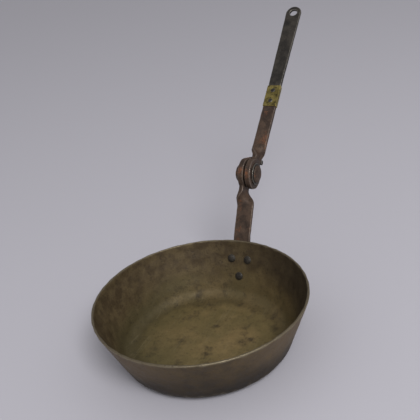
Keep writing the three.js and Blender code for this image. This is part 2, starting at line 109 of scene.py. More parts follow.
# %% Place a node and write a colour
def add(tree, kind, inputs=None, **settings):
    """A new node. Inputs are set by name or number, to a value or to another node's output."""
    made = tree.nodes.new(kind)
    for name, value in settings.items():
        setattr(made, name, value)
    for key, value in (inputs or {}).items():
        if isinstance(value, bpy.types.NodeSocket):
            tree.links.new(value, made.inputs[key])
        else:
            made.inputs[key].default_value = value
    return made


def colour(red, green, blue):
    """A colour as a paint shop writes it, from 0 to 255, as the light that it sends back."""
    parts = [v / 255 for v in (red, green, blue)]
    return [v / 12.92 if v <= 0.04045 else ((v + 0.055) / 1.055) ** 2.4 for v in parts] + [1]


# %% Groups, ramps and mixes
def new_group(name, inputs, outputs):
    """An empty node group with named sockets: its tree, its input node and its output node."""
    tree = bpy.data.node_groups.new(name, "ShaderNodeTree")
    for label, value in inputs.items():
        socket = tree.interface.new_socket(label, in_out="INPUT", socket_type="NodeSocketFloat")
        socket.default_value = value
    for label, kind in outputs.items():
        tree.interface.new_socket(label, in_out="OUTPUT", socket_type=kind)
    return tree, tree.nodes.new("NodeGroupInput"), tree.nodes.new("NodeGroupOutput")


def ramp(tree, value, low, high, out_low=0.0, out_high=1.0):
    """Turns a value between low and high into a soft step from one output to the other."""
    inputs = {
        "Value": value, "From Min": low, "From Max": high, "To Min": out_low, "To Max": out_high
    }
    made = add(tree, "ShaderNodeMapRange", inputs, interpolation_type="SMOOTHSTEP")
    return made.outputs["Result"]


def mix(tree, share, first, second):
    """Mixes two colours. The node has them as inputs 6 and 7, and the mixed one as output 2."""
    inputs = {"Factor": share, 6: first, 7: second}
    return add(tree, "ShaderNodeMix", inputs, data_type="RGBA").outputs[2]


def blend_by(tree, value, low, high, first, second):
    """The first colour where a value is low and the second where it is high."""
    return mix(tree, ramp(tree, value, low, high), first, second)


def maths(tree, operation, first, second=0.0):
    """Arithmetic on two values."""
    return add(tree, "ShaderNodeMath", {0: first, 1: second}, operation=operation).outputs[0]


def mottle(tree, scale, detail=4.0, rough=0.55, shift=0.0):
    """Soft cloudy noise on the object's own coordinates, around one half."""
    place = add(tree, "ShaderNodeTexCoord").outputs["Object"]
    moved = add(tree, "ShaderNodeMapping", {"Vector": place, "Location": (shift, shift, shift)})
    inputs = {"Vector": moved.outputs[0], "Scale": scale, "Detail": detail, "Roughness": rough}
    return add(tree, "ShaderNodeTexNoise", inputs).outputs["Fac"]


# %% [markdown]
# ### Worn edges
# Hands, spoons and other pots rub the proud places bright: rims, corners and the ridges
# between hammer marks. Blender's Pointiness finds such places, but it follows the mesh's
# fineness and is lost in an exported model. So the mesh itself carries a value named edge,
# which says how far each point stands out from its neighbours. The group breaks that value
# up with noise, because wear is never an even line.

# %% Worn edges group
worn_edges, given, result = new_group(
    "worn_edges", {"Start": 0.02, "Full": 0.1, "Broken": 0.06}, {"Wear": "NodeSocketFloat"}
)
edge_value = add(worn_edges, "ShaderNodeAttribute", attribute_name="edge").outputs["Fac"]
cloud = mottle(worn_edges, scale=140, detail=5, rough=0.65)
swing = maths(worn_edges, "SUBTRACT", cloud, 0.5)
uneven = maths(worn_edges, "MULTIPLY", swing, given.outputs["Broken"])
broken = maths(worn_edges, "ADD", edge_value, uneven)
wear = ramp(worn_edges, broken, given.outputs["Start"], given.outputs["Full"])
worn_edges.links.new(wear, result.inputs["Wear"])

# %% [markdown]
# ### Rust
# Rust grows in blooms. Where it is thin it is a brown film, and where it is thick it turns
# orange and stands up a little as a crust. Painting it by hand would fit one pan only, so
# noise of two sizes makes the blooms with a ragged margin, and a third gives their grain.

# %% Rust group
RUST_FILM, RUST_GRAIN, RUST_FRESH = colour(74, 50, 38), colour(120, 76, 48), colour(146, 92, 54)
RAGGED = 0.22
SOFT_MARGIN = 0.16
CLEAN, AMOUNT_SHARE = 1.02, 0.62

rust_bloom, given, result = new_group(
    "rust_bloom",
    {"Size": 40.0, "Amount": 0.5},
    {"Mask": "NodeSocketFloat", "Rust": "NodeSocketColor", "Crust": "NodeSocketFloat"},
)
blooms = mottle(rust_bloom, given.outputs["Size"], detail=6, rough=0.62, shift=3)
speckle = mottle(rust_bloom, scale=420, detail=3, rough=0.7, shift=1)
fresh = mottle(rust_bloom, scale=95, detail=5, rough=0.7, shift=7)
ragged = maths(rust_bloom, "ADD", blooms, maths(rust_bloom, "MULTIPLY", speckle, RAGGED))
amount = maths(rust_bloom, "MULTIPLY", given.outputs["Amount"], AMOUNT_SHARE)
bare = maths(rust_bloom, "SUBTRACT", CLEAN, amount)
mask = ramp(rust_bloom, ragged, bare, maths(rust_bloom, "ADD", bare, SOFT_MARGIN))
film = blend_by(rust_bloom, speckle, 0.35, 0.65, RUST_FILM, RUST_GRAIN)
rust = blend_by(rust_bloom, fresh, 0.56, 0.72, film, RUST_FRESH)
rust_bloom.links.new(mask, result.inputs["Mask"])
rust_bloom.links.new(rust, result.inputs["Rust"])
rust_bloom.links.new(maths(rust_bloom, "MULTIPLY", mask, speckle), result.inputs["Crust"])

# %% [markdown]
# ### Forge grain
# Hot iron grows a skin of scale. The hammer drives it in, and when it flakes off it leaves
# pits: broad ones in some places, and a fine grain all over. Cells make the broad pits, and
# noise chooses where they are. Dirt fills the pits, so the same mask that lowers the
# surface also darkens it. Under soft light that is what shows them.

# %% Forge grain group
STIR = 6 * MM

forge_grain, given, result = new_group(
    "forge_grain",
    {"Size": 260.0},
    {"Pits": "NodeSocketFloat", "Dirt": "NodeSocketFloat", "Tone": "NodeSocketFloat"},
)
place = add(forge_grain, "ShaderNodeTexCoord").outputs["Object"]
stir = add(forge_grain, "ShaderNodeTexNoise", {"Vector": place, "Scale": 160.0, "Detail": 2.0})
bent = add(forge_grain, "ShaderNodeVectorMath", {0: stir.outputs["Color"]}, operation="SCALE")
bent.inputs["Scale"].default_value = STIR
stirred = add(forge_grain, "ShaderNodeVectorMath", {0: place, 1: bent.outputs[0]}, operation="ADD")
cells = add(
    forge_grain,
    "ShaderNodeTexVoronoi",
    {"Vector": stirred.outputs[0], "Scale": given.outputs["Size"]},
)
broad = ramp(forge_grain, cells.outputs["Distance"], 0.12, 0.5, 1.0, 0.0)
chosen = mottle(forge_grain, scale=70, detail=3, rough=0.6, shift=13)
where = ramp(forge_grain, chosen, 0.42, 0.6)
powder = mottle(forge_grain, scale=620, detail=4, rough=0.65, shift=5)
fine = ramp(forge_grain, powder, 0.36, 0.5, 0.7, 0.0)
dirt = maths(forge_grain, "MAXIMUM", maths(forge_grain, "MULTIPLY", broad, where), fine)
tone = mottle(forge_grain, scale=60, detail=6, rough=0.65, shift=9)
forge_grain.links.new(dirt, result.inputs["Dirt"])
forge_grain.links.new(maths(forge_grain, "SUBTRACT", 1.0, dirt), result.inputs["Pits"])
forge_grain.links.new(tone, result.inputs["Tone"])

# %% [markdown]
# ### Scratches
# Spoons and knives leave fine straight lines on the floor of the bowl. They are too many to
# draw one by one. Noise that is stretched a hundred times along one direction makes such
# lines, and two directions crossed keep them from looking combed.

# %% Scratches group
SCRATCH_TURNS = (0.35, 1.9)
STRETCHED = (0.012, 1.0, 0.2)

scratches, given, result = new_group(
    "scratches", {"Fineness": 900.0}, {"Line": "NodeSocketFloat"}
)
place = add(scratches, "ShaderNodeTexCoord").outputs["Object"]
lines = []
for turn in SCRATCH_TURNS:
    laid_out = {"Vector": place, "Rotation": (0, 0, turn), "Scale": STRETCHED}
    laid = add(scratches, "ShaderNodeMapping", laid_out).outputs[0]
    drawn = {"Vector": laid, "Scale": given.outputs["Fineness"], "Detail": 2.0, "Roughness": 0.5}
    streak = add(scratches, "ShaderNodeTexNoise", drawn).outputs["Fac"]
    lines.append(ramp(scratches, streak, 0.63, 0.72))
crossed = maths(scratches, "MAXIMUM", *lines)
here = ramp(scratches, mottle(scratches, scale=24, detail=3, rough=0.6, shift=21), 0.4, 0.6)
scratches.links.new(maths(scratches, "MULTIPLY", crossed, here), result.inputs["Line"])
print("node groups:", [group.name for group in bpy.data.node_groups])


# %% [markdown]
# ## Finishes
# Every finish is bare metal under a skin: oil baked on inside the bowl, soot outside, rust
# on the strap, and dull scale on the bar. The recipe is the same each time, so one helper
# holds it. Two tones of the skin are mottled together, rust is laid over it, the worn edges
# over both, and dirt sits in the pits. Rust is rough and not metallic, and wear is smoother
# and more metallic, so the same masks also steer roughness and metal.

# %% Helpers for finishes
PIT_DIRT = colour(30, 25, 21)
RUST_ROUGH, RUST_METAL = 0.88, 0.1
WORN_METAL = 0.45
PATCHY_ROUGH = 0.35
PIT_DEPTH, PIT_STRENGTH = 0.45 * MM, 0.8


def use(tree, group, **values):
    """Places a node group in a material, with its own values."""
    made = add(tree, "ShaderNodeGroup", node_tree=group)
    for name, value in values.items():
        made.inputs[name].default_value = value
    return made.outputs


def new_finish(name):
    """A material with its node tree and its shader."""
    material = bpy.data.materials.new(name)
    material.use_nodes = True
    tree = material.node_tree
    return material, tree, tree.nodes["Principled BSDF"]


def pitted(tree, shader, height, strength, depth):
    """Sinks the height's low places a little with a Bump node."""
    inputs = {"Height": height, "Strength": strength, "Distance": depth}
    bump = add(tree, "ShaderNodeBump", inputs)
    tree.links.new(bump.outputs["Normal"], shader.inputs["Normal"])


def lay_on(tree, shader, skin, rust, wear, grain, worn_colour, values):
    """Lays rust, wear and dirt over a skin, and sets roughness, metal and height by them."""
    rusted = mix(tree, rust["Mask"], skin, rust["Rust"])
    rubbed = mix(tree, wear, rusted, worn_colour)
    dirty = maths(tree, "MULTIPLY", grain["Dirt"], values["dirt"])
    tree.links.new(mix(tree, dirty, rubbed, PIT_DIRT), shader.inputs["Base Color"])
    dull = ramp(tree, rust["Mask"], 0.0, 1.0, values["rough"], RUST_ROUGH)
    polished = maths(tree, "MULTIPLY", wear, values["polish"])
    swing = maths(tree, "SUBTRACT", grain["Tone"], 0.5)
    patchy = maths(tree, "MULTIPLY", swing, PATCHY_ROUGH)
    rough = maths(tree, "ADD", maths(tree, "SUBTRACT", dull, polished), patchy)
    tree.links.new(rough, shader.inputs["Roughness"])
    metal = ramp(tree, rust["Mask"], 0.0, 1.0, values["metal"], RUST_METAL)
    shine = maths(tree, "MULTIPLY", wear, WORN_METAL)
    tree.links.new(maths(tree, "ADD", metal, shine), shader.inputs["Metallic"])
    sunk = maths(tree, "MULTIPLY", grain["Pits"], values["pits"])
    height = maths(tree, "ADD", sunk, rust["Crust"])
    pitted(tree, shader, height, PIT_STRENGTH, PIT_DEPTH)


# %% Iron of the handle and its fittings
HANDLED_FROM, HANDLED_FULL = 0.03, 0.11


def forged_iron(name, tones, worn_colour, **values):
    """Forged iron with a mottled skin of two tones."""
    material, tree, shader = new_finish(name)
    grain = use(tree, forge_grain, Size=values["grain"])
    rust = use(tree, rust_bloom, Size=values["blooms"], Amount=values["rust"])
    wear = use(tree, worn_edges, Start=HANDLED_FROM, Full=HANDLED_FULL)["Wear"]
    skin = blend_by(tree, grain["Tone"], 0.35, 0.65, *tones)
    lay_on(tree, shader, skin, rust, wear, grain, worn_colour, values)
    return material


rusty_iron = forged_iron(
    "rusty_iron_finish",
    tones=(colour(58, 45, 36), colour(87, 69, 56)),
    worn_colour=colour(128, 114, 103),
    rust=0.62, grain=240, blooms=42, rough=0.62, polish=0.2, metal=0.4, pits=0.8, dirt=0.5,
)
dark_iron = forged_iron(
    "dark_iron_finish",
    tones=(colour(42, 39, 35), colour(65, 60, 53)),
    worn_colour=colour(132, 127, 118),
    rust=0.3, grain=280, blooms=55, rough=0.54, polish=0.18, metal=0.42, pits=0.7, dirt=0.5,
)

# %% [markdown]
# ### The seasoned bowl
# Inside, years of fat have baked to a brown-olive film. Outside, the fire has left soot, and
# the outside is darker towards the bottom. One material covers both sides, because they meet
# at the rim without an edge. It has to know where on the bowl a point is. The mesh carries a
# value named inside, which is 1 on the cooking side and 0 on the fire side. Height above the
# floor, distance from the middle and the side of the pan come from the object's own
# coordinates: a dot product of the place with one level direction tells the two sides. Slow
# noise bends all these measures, so that no stain ends on a ruled line.

# %% Where on the bowl
BENT_BY = 60 * MM
HEEL_STARTS, HEEL_ENDS = (92 * MM, 106 * MM), (12 * MM, 42 * MM)
# How strongly the heel ring is mixed in: grease, and painted shade that damps the lamp's highlight
# there.
GREASE_AND_SHADE_SHARE = 0.46
SIDE_BENT_BY = 6.0

seasoned_iron, tree, shader = new_finish("seasoned_iron_finish")
inside = add(tree, "ShaderNodeAttribute", attribute_name="inside").outputs["Fac"]
place = add(tree, "ShaderNodeTexCoord").outputs["Object"]
height = add(tree, "ShaderNodeSeparateXYZ", {0: place}).outputs["Z"]
slow = maths(tree, "SUBTRACT", mottle(tree, scale=18, detail=4, rough=0.5, shift=2), 0.5)
drift = maths(tree, "MULTIPLY", slow, BENT_BY)
uneven_height = maths(tree, "ADD", height, drift)
level_place = add(tree, "ShaderNodeVectorMath", {0: place, 1: (1, 1, 0)}, operation="MULTIPLY")
from_middle = add(tree, "ShaderNodeVectorMath", {0: level_place.outputs[0]}, operation="LENGTH")
uneven_reach = maths(tree, "ADD", from_middle.outputs["Value"], drift)
past_floor = ramp(tree, uneven_reach, *HEEL_STARTS)
below_wall = ramp(tree, uneven_height, *HEEL_ENDS, GREASE_AND_SHADE_SHARE, 0.0)
in_heel = maths(tree, "MULTIPLY", past_floor, below_wall)
to_side = {0: place, 1: aside / RIM_RADIUS}
side = add(tree, "ShaderNodeVectorMath", to_side, operation="DOT_PRODUCT").outputs["Value"]
uneven_side = maths(tree, "ADD", side, maths(tree, "MULTIPLY", drift, SIDE_BENT_BY))

# %% [markdown]
# The film is thickest on the floor and browner on the wall. The inner wall on the lamp's side
# faces away from the lamp, and its shade is painted on it as a darker brown. The floor on the
# other side has kept a greener film. A darker ring in the inner corner is painted shade that
# damps the lamp's highlight on the heel, and grease as well, and the floor is scraped. Each
# of these is one colour, mixed in by one mask, so any of them can be changed alone.

# %% Inside, a film of baked oil
OLIVE, MOSS, STAIN = colour(126, 107, 70), colour(105, 92, 58), colour(66, 55, 38)
GREEN_FILM, WALL_BROWN, WALL_TAN = colour(84, 77, 49), colour(69, 56, 37), colour(91, 77, 52)
# The darkest brown paints shade on one wall, and the grease colour paints grease and shade in the
# heel.
WALL_SHADE, GREASE_AND_SHADE, SCRAPED = colour(42, 33, 22), colour(60, 52, 34), colour(132, 122, 96)
SCRAPED_SHARE = 0.35

grain = use(tree, forge_grain, Size=200.0)
patches = mottle(tree, scale=11, detail=5, rough=0.6, shift=4)
stains = mottle(tree, scale=34, detail=6, rough=0.7, shift=6)
olive = blend_by(tree, patches, 0.38, 0.62, OLIVE, MOSS)
stained = blend_by(tree, stains, 0.5, 0.72, olive, STAIN)
green_side = ramp(tree, uneven_side, -0.8, -0.1, 0.75, 0.0)
floor_skin = mix(tree, green_side, stained, GREEN_FILM)
wall_skin = blend_by(tree, grain["Tone"], 0.35, 0.65, WALL_BROWN, WALL_TAN)
# Painted shade: the inner wall on the lamp's side faces away from the lamp and is painted darker.
shaded_side = ramp(tree, uneven_side, 0.2, 0.95, 0.0, 0.62)
shaded_wall_skin = mix(tree, shaded_side, wall_skin, WALL_SHADE)
film = blend_by(tree, uneven_height, 8 * MM, 50 * MM, floor_skin, shaded_wall_skin)
# Painted shade in the heel, as a darker ring of grease colour that damps the lamp's highlight.
ringed_film = mix(tree, in_heel, film, GREASE_AND_SHADE)
on_floor = ramp(tree, height, 6 * MM, 14 * MM, SCRAPED_SHARE, 0.0)
line = use(tree, scratches, Fineness=900.0)["Line"]
inner_skin = mix(tree, maths(tree, "MULTIPLY", line, on_floor), ringed_film, SCRAPED)

# %% [markdown]
# Outside, the skin is darker towards the bottom and browner higher up, and high up at both
# sides the fire has burnt it off to a lighter brown. Soot and baked oil shine less than clean
# iron does, so the whole bowl gets a lower specular level.

# %% Outside, soot and burnt brown
SOOT, ASH = colour(29, 23, 15), colour(44, 35, 23)
BROWN, TAN = colour(63, 51, 33), colour(84, 69, 45)
BURNT_OFF, RUBBED_BOWL = colour(110, 92, 67), colour(122, 112, 92)

soot = blend_by(tree, grain["Tone"], 0.3, 0.7, SOOT, ASH)
brown = blend_by(tree, grain["Tone"], 0.3, 0.7, BROWN, TAN)
# Darker towards the bottom, blended into brown higher up.
darker_low = blend_by(tree, uneven_height, 5 * MM, 70 * MM, soot, brown)
at_sides = ramp(tree, maths(tree, "ABSOLUTE", uneven_side), 0.1, 0.8, 0.0, 0.62)
high_up = ramp(tree, uneven_height, 8 * MM, 56 * MM, 0.15, 1.0)
outer_skin = mix(tree, maths(tree, "MULTIPLY", at_sides, high_up), darker_low, BURNT_OFF)

# %% Both skins on one iron
rust = use(tree, rust_bloom, Size=26.0, Amount=0.34)
wear = use(tree, worn_edges, Start=0.015, Full=0.075)["Wear"]
metal = ramp(tree, inside, 0.2, 0.8, 0.12, 0.3)
finish_values = {"rough": 0.6, "polish": 0.15, "metal": metal, "pits": 0.45, "dirt": 0.34}
skin = mix(tree, inside, outer_skin, inner_skin)
lay_on(tree, shader, skin, rust, wear, grain, RUBBED_BOWL, finish_values)
shader.inputs["Specular IOR Level"].default_value = 0.36

# %% [markdown]
# ### Aged brass
# The collar was bright once. Now it is dull olive-yellow, darker and greener where dirt
# sits, and yellow again where hands rub its edges. The same groups serve, with colours of
# brass, a metallic shader and no rust.

# %% Aged brass
BRASS_DULL, BRASS_PALE = colour(126, 114, 64), colour(162, 147, 86)
BRASS_RUBBED = colour(168, 148, 84)
TARNISH, BRASS_DIRT = colour(84, 75, 42), colour(46, 44, 30)
BRASS_DIRT_SHARE, BRASS_METAL = 0.6, 0.8
BRASS_PIT_DEPTH, BRASS_PIT_STRENGTH = 0.2 * MM, 0.4

aged_brass, tree, shader = new_finish("aged_brass_finish")
grain = use(tree, forge_grain, Size=330.0)
wear = use(tree, worn_edges, Start=0.03, Full=0.14)["Wear"]
dull = blend_by(tree, grain["Tone"], 0.38, 0.62, BRASS_DULL, BRASS_PALE)
spots = mottle(tree, scale=90, detail=6, rough=0.7, shift=8)
stained = blend_by(tree, spots, 0.5, 0.66, dull, TARNISH)
rubbed = mix(tree, wear, stained, BRASS_RUBBED)
dirty = maths(tree, "MULTIPLY", grain["Dirt"], BRASS_DIRT_SHARE)
tree.links.new(mix(tree, dirty, rubbed, BRASS_DIRT), shader.inputs["Base Color"])
smeared = ramp(tree, mottle(tree, scale=160), 0.3, 0.7, 0.36, 0.56)
tree.links.new(smeared, shader.inputs["Roughness"])
shader.inputs["Metallic"].default_value = BRASS_METAL
pitted(tree, shader, grain["Pits"], BRASS_PIT_STRENGTH, BRASS_PIT_DEPTH)

# %% Which finish belongs to which slot
FINISHES = {
    "seasoned_iron": seasoned_iron,
    "rusty_iron": rusty_iron,
    "dark_iron": dark_iron,
    "aged_brass": aged_brass,
}
print("finishes:", list(FINISHES))


# %% [markdown]
# ## Shaping tools
# A smith has a few moves: draw out, bend, twist, punch and weld. Each has a match here. A
# bar is drawn out by extruding a section and carrying it along a path. A curve with a
# bevel could do that too, but a section that is placed step by step can also change its
# width, its thickness and its twist.

# %% Draw out a bar
CORNER_STEPS, END_STEPS = 3, 2


def section(centre, direction, turn, width, thickness):
    """The place of a bar's section: a unit square goes to its size, across the direction."""
    across = Y * math.cos(turn) + direction.cross(Y) * math.sin(turn)
    through = direction.cross(across)
    place = Matrix((across * width, through * thickness, direction)).transposed().to_4x4()
    place.translation = centre
    return place


def draw_out(sections, ease):
    """A closed bar through a list of sections, with its long edges and its ends eased."""
    bm = bmesh.new()
    bmesh.ops.create_grid(bm, x_segments=1, y_segments=1, size=0.5, matrix=sections[0])
    corners = {"offset": ease, "segments": CORNER_STEPS, "affect": "VERTICES"}
    bmesh.ops.bevel(bm, geom=bm.verts, profile=0.5, material=-1, **corners)
    face = start = bm.faces[:][0]
    for last, following in zip(sections, sections[1:]):
        grown = bmesh.ops.extrude_face_region(bm, geom=[face])["geom"]
        face = next(item for item in grown if isinstance(item, bmesh.types.BMFace))
        bmesh.ops.transform(bm, matrix=following @ last.inverted(), verts=face.verts)
    bmesh.ops.recalc_face_normals(bm, faces=bm.faces)
    ends = {"offset": ease / 2, "segments": END_STEPS, "affect": "EDGES"}
    bmesh.ops.bevel(bm, geom=[*start.edges, *face.edges], profile=0.5, material=-1, **ends)
    return bm


# %% [markdown]
# Eyes, washers and shanks are short round bars, and a rivet's head is a flattened half
# ball. Both start from one of Blender's ready shapes. Where a round bar's end is seen, its
# sharp ring is eased, because no forged edge is sharp and a true corner catches no light.

# %% Rounds and domes
SHARP_ANGLE = 0.8


def ease_sharp(bm, ease):
    """Rounds every edge that turns sharply."""
    sharp = [edge for edge in bm.edges if edge.calc_face_angle(0) > SHARP_ANGLE]
    eased = {"offset": ease, "segments": CORNER_STEPS, "affect": "EDGES"}
    bmesh.ops.bevel(bm, geom=sharp, profile=0.5, material=-1, **eased)


def round_bar(radius, low, high, ease=0.0, steps=48):
    """A round bar along Z from one height to another, with eased ends."""
    bm = bmesh.new()
    size = {"radius1": radius, "radius2": radius, "depth": high - low}
    place = Matrix.Translation(Z * (low + high) / 2)
    bmesh.ops.create_cone(bm, cap_ends=True, segments=steps, matrix=place, **size)
    if ease:
        ease_sharp(bm, ease)
    return bm


def dome(radius, rise, seat):
    """A hammered head: the upper half of a flattened ball. A negative rise points it down."""
    bm = bmesh.new()
    bmesh.ops.create_uvsphere(bm, u_segments=40, v_segments=24, radius=radius)
    whole = bm.verts[:] + bm.edges[:] + bm.faces[:]
    bmesh.ops.bisect_plane(bm, geom=whole, plane_co=ORIGIN, plane_no=Z, clear_inner=True)
    bmesh.ops.holes_fill(bm, edges=[edge for edge in bm.edges if edge.is_boundary], sides=0)
    bmesh.ops.scale(bm, vec=(1, 1, rise / radius), verts=bm.verts)
    bmesh.ops.translate(bm, vec=Z * seat, verts=bm.verts)
    bmesh.ops.recalc_face_normals(bm, faces=bm.faces)
    return bm


def placed(bm, matrix):
    """Carries a shape to its place."""
    bmesh.ops.transform(bm, matrix=matrix, verts=bm.verts)
    return bm


# %% [markdown]
# Welding lays closed shapes into each other, and the Remesh modifier grows one skin over
# them. A Boolean union would join them too, but it leaves a hard seam, where a forge weld
# flows. Punching is a Boolean with a drill, and a second remesh eases what the drill cut.

# %% Weld and punch
SMOOTH_PASSES = 2


def joined(shapes):
    """Lays shapes into one. The shapes are used up."""
    carrier = bpy.data.meshes.new("carrier")
    whole = bmesh.new()
    for bm in shapes:
        bm.to_mesh(carrier)
        bm.free()
        whole.from_mesh(carrier)
    bpy.data.meshes.remove(carrier)
    return whole


def as_object(name, shapes):
    """Puts one or more closed shapes in one object."""
    mesh = bpy.data.meshes.new(name)
    whole = joined(shapes)
    whole.to_mesh(mesh)
    whole.free()
    thing = bpy.data.objects.new(name, mesh)
    bpy.context.scene.collection.objects.link(thing)
    return thing


def weld(name, shapes, skin, drills=()):
    """Grows one skin over closed shapes, punches the drills' holes, and eases what they cut."""
    work = as_object(name, shapes)
    first = work.modifiers.new("weld", "REMESH")
    first.mode, first.voxel_size = "VOXEL", skin
    punch = as_object("punch", drills) if drills else None
    if punch:
        hole = work.modifiers.new("punch", "BOOLEAN")
        hole.operation, hole.solver, hole.object = "DIFFERENCE", "EXACT", punch
        second = work.modifiers.new("ease", "REMESH")
        second.mode, second.voxel_size = "VOXEL", skin
    bm = bmesh.new()
    bm.from_object(work, bpy.context.evaluated_depsgraph_get())
    for spent in filter(None, (work, punch)):
        bpy.data.meshes.remove(spent.data)
    every_way = {"use_axis_x": True, "use_axis_y": True, "use_axis_z": True}
    for _ in range(SMOOTH_PASSES):
        bmesh.ops.smooth_vert(bm, verts=bm.verts, factor=0.5, **every_way)
    bm.normal_update()
    return bm


# %% [markdown]
# A hammer leaves shallow round hollows that meet in ridges. A bump map could draw them, but
# then the outline would stay smooth and an exported mesh would have none. So the points
# themselves are sunk. Each one takes the deepest of the three nearest hollows.

# %% Hammer marks
MARK_REACH = 0.64
LIGHTEST_BLOW = 0.45
NEAREST_MARKS = 3


def spread(points, spacing, seed):
    """Chooses points at random that are at least the spacing apart."""
    left = np.random.default_rng(seed).permutation(np.array(points))
    chosen = []
    while len(left):
        chosen.append(Vector(left[0]))
        left = left[np.linalg.norm(left - left[0], axis=1) > spacing]
    return chosen


def hammer(bm, spacing, depth, seed):
    """Sinks a shallow hollow round each chosen point, so that neighbours meet in a ridge."""
    reach = MARK_REACH * spacing
    marks = spread([vert.co[:] for vert in bm.verts], spacing, seed)
    blows = np.random.default_rng(seed + 1).uniform(LIGHTEST_BLOW, 1.0, len(marks))
    depths = blows * depth
    tree = kdtree.KDTree(len(marks))
    for number, mark in enumerate(marks):
        tree.insert(mark, number)
    tree.balance()
    for vert in bm.verts:
        near = tree.find_n(vert.co, NEAREST_MARKS)
        sink = min(depths[number] * ((far / reach) ** 2 - 1) for _, number, far in near)
        vert.co += vert.normal * min(sink, 0)
    bm.normal_update()
    return len(marks)


# %% [markdown]
# The finishes read two values from the mesh. The one named inside is written where the bowl
# is shaped, and the one named edge is written here, for every piece. It is high where a
# point stands out from all its neighbours. The finished mesh becomes an object at the
# origin, which moves with its body and stands for its plain solid.

# %% Wear and the finished piece
SOFTEN_PASSES = 2


def mark_edges(bm):
    """Writes how far each point stands out from its neighbours, softened, as the value edge."""
    layer = bm.verts.layers.float.new("edge")
    for vert in bm.verts:
        steps = [(vert.co - edge.other_vert(vert).co).normalized() for edge in vert.link_edges]
        vert[layer] = sum(step.dot(vert.normal) for step in steps) / max(len(steps), 1)
    for _ in range(SOFTEN_PASSES):
        means = []
        for vert in bm.verts:
            around = [edge.other_vert(vert)[layer] for edge in vert.link_edges]
            means.append((vert[layer] + sum(around)) / (1 + len(around)))
        for vert, value in zip(bm.verts, means):
            vert[layer] = value


def finish_piece(name, bm, slot, body, node):
    """Makes the object, gives it its finish and its body, and lets it stand for its solid."""
    mark_edges(bm)
    mesh = bpy.data.meshes.new(name)
    bm.to_mesh(mesh)
    bm.free()
    mesh.shade_smooth()
    mesh.materials.append(FINISHES[slot])
    piece = bpy.data.objects.new(name, mesh)
    bpy.context.scene.collection.objects.link(piece)
    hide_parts(node)
    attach(piece, body)
    size = [round(v / MM) for v in piece.dimensions]
    print(f"{name}: {len(mesh.polygons)} faces, {size[0]} x {size[1]} x {size[2]} mm")


# %% [markdown]
# ## The bowl
# A bowl is beaten from a disc of sheet iron, so its wall has nearly one thickness and its
# corner, the heel, is round. A cylinder could be pulled into shape row by row, but every
# measure of a bowl is a measure of its section. So the section is drawn, from the middle
# of the base out to the heel, up the wall, over the rim and back down inside. Spin makes
# the arcs of the section, and a full spin round Z then makes the bowl.

# %% Measures of the bowl
BASE_RADIUS = 102 * MM
HEEL_RADIUS = 22 * MM
WALL = 2.4 * MM
RIM_THICKNESS = 3.6 * MM
RIM_TAPER = 10 * MM
ROW = 2.4 * MM
ARC_STEPS = 12
SPIN_STEPS = 288
MERGE = 0.02 * MM

heel = Vector((BASE_RADIUS, 0, HEEL_RADIUS))
rim_round = Vector((RIM_RADIUS - RIM_THICKNESS / 2, 0, PAN_DEPTH - RIM_THICKNESS / 2))
to_rim = rim_round - heel
round_gap = HEEL_RADIUS - RIM_THICKNESS / 2
flank_angle = math.atan2(to_rim.z, to_rim.x) - math.acos(round_gap / to_rim.length)
OUT = Vector((math.cos(flank_angle), 0, math.sin(flank_angle)))
UP_WALL = Vector((-OUT.z, 0, OUT.x))
WALL_TOP = rim_round + OUT * RIM_THICKNESS / 2
print("wall leans out at", round(90 + math.degrees(flank_angle), 1), "degrees")


def on_wall(down, outside, angle=0.0):
    """A point so far down the wall from the rim and so far outside it, turned round the bowl."""
    point = WALL_TOP - UP_WALL * down + OUT * outside
    return Matrix.Rotation(angle, 3, "Z") @ point


# %% Draw and spin the section
def draw_section():
    """The bowl's section, one open chain of edges from the base's middle to the floor's."""
    bm = bmesh.new()
    tip = bm.verts.new(ORIGIN)

    def straight_to(point):
        nonlocal tip
        grown = bmesh.ops.extrude_vert_indiv(bm, verts=[tip])["verts"][0]
        grown.co = point
        tip = grown

    def arc_round(centre, angle):
        nonlocal tip
        turned = bmesh.ops.spin(bm, geom=[tip], cent=centre, axis=-Y, angle=angle, steps=ARC_STEPS)
        tip = turned["geom_last"][0]

    straight_to(X * BASE_RADIUS)
    arc_round(heel, math.pi / 2 + flank_angle)
    straight_to(WALL_TOP)
    arc_round(rim_round, math.pi)
    straight_to(on_wall(RIM_TAPER, -WALL))
    straight_to(heel + OUT * (HEEL_RADIUS - WALL))
    arc_round(heel, -(math.pi / 2 + flank_angle))
    straight_to(Z * WALL)
    for edge in bm.edges[:]:
        cuts = int(edge.calc_length() / ROW)
        if cuts:
            bmesh.ops.subdivide_edges(bm, edges=[edge], cuts=cuts)
    return bm


bowl = draw_section()
print("points in the section:", len(bowl.verts))
chain = bowl.verts[:] + bowl.edges[:]
whole_turn = {"cent": ORIGIN, "axis": Z, "angle": math.tau, "steps": SPIN_STEPS}
bmesh.ops.spin(bowl, geom=chain, use_merge=True, use_duplicate=False, **whole_turn)
bmesh.ops.remove_doubles(bowl, verts=bowl.verts, dist=MERGE)
bmesh.ops.recalc_face_normals(bowl, faces=bowl.faces)
bowl.normal_update()
print("bowl:", len(bowl.faces), "faces, open edges:", sum(edge.is_boundary for edge in bowl.edges))

# %% [markdown]
# ### Beaten, not turned
# A spun bowl is too perfect. A beaten one is never quite round and its rim is never quite
# level. The wall is drawn in by up to a millimetre, in slow waves that grow towards the rim
# and die out near the strap, so that the strap still sits flat on it. Hammer marks cover
# both sides. Before the shape is touched, each point notes which side of the iron it is on.

# %% Warp and hammer the bowl
DRAWN_IN = 1.1 * MM
RIM_DIP = 0.7 * MM
BOWL_MARK = 15 * MM
BOWL_MARK_DEPTH = 0.55 * MM
# Towards the strap the waves have died out at this share of X, over this much of it.
STRAP_SIDE, STRAP_EASE = 0.93, 0.25
